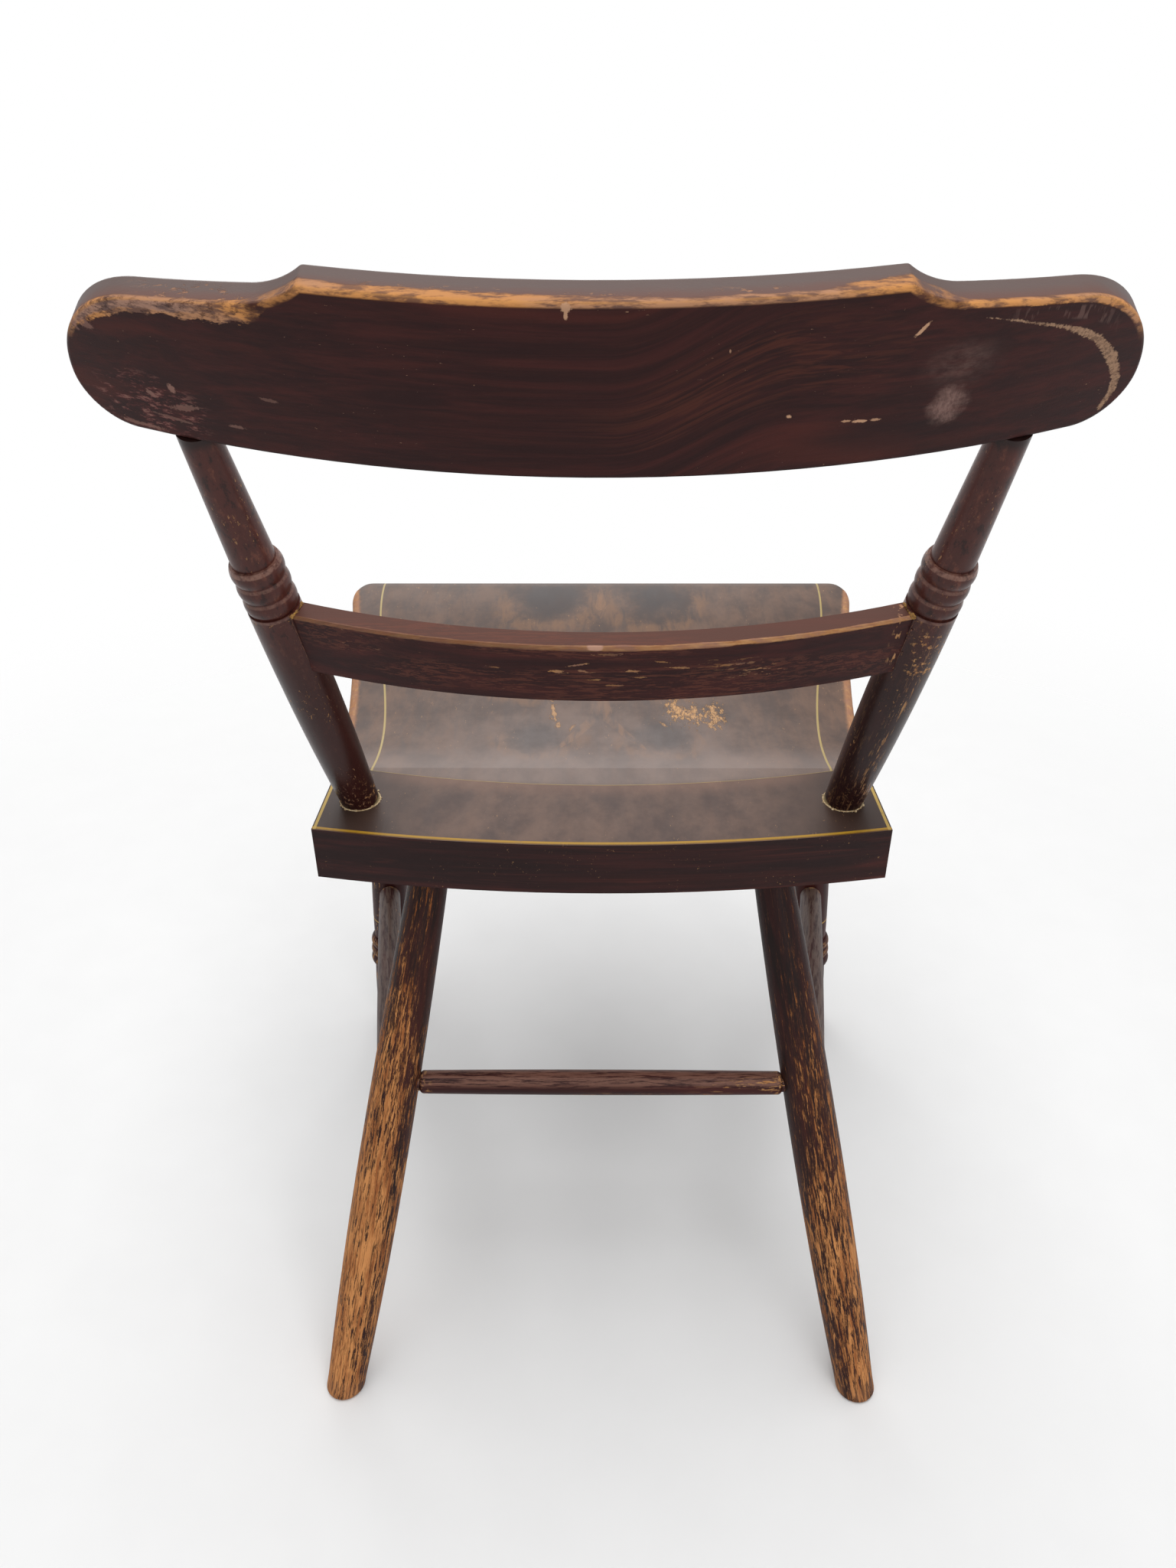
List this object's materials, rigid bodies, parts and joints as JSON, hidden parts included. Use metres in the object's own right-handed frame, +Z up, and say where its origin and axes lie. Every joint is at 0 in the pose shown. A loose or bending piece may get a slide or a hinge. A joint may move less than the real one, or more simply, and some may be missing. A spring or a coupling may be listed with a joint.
{
  "type": "stenciled painted side chair",
  "caption": "Wooden plank-seat side chair, grained dark with striping, with a curved crest rail, a bent back slat, ring-turned posts and splayed legs joined by stretchers.",
  "frame": {"origin": "on the floor, at the middle of the chair's width and depth", "axes": "+Z up, the sitter faces -Y, +X is the sitter's left"},
  "size_m": [0.507, 0.5296, 0.7997],
  "materials": {
    "grained_frame": "dark red-brown grained paint, worn at the arrises",
    "grained_seat": "brown and black flame graining with thin ochre striping",
    "worn_leg": "dark paint worn through to bare wood in long streaks"
  },
  "bodies": {
    "root": {"seat_plank": "grained_seat", "crest_rail": "grained_frame", "back_slat": "grained_frame", "back_post_left": "grained_frame", "back_post_right": "grained_frame", "front_leg_left": "grained_frame", "front_leg_right": "grained_frame", "front_stretcher": "grained_frame", "rear_stretcher": "grained_frame", "side_stretcher_left": "grained_frame", "side_stretcher_right": "grained_frame", "rear_leg_left": "worn_leg", "rear_leg_right": "worn_leg"}
  },
  "joints": []
}
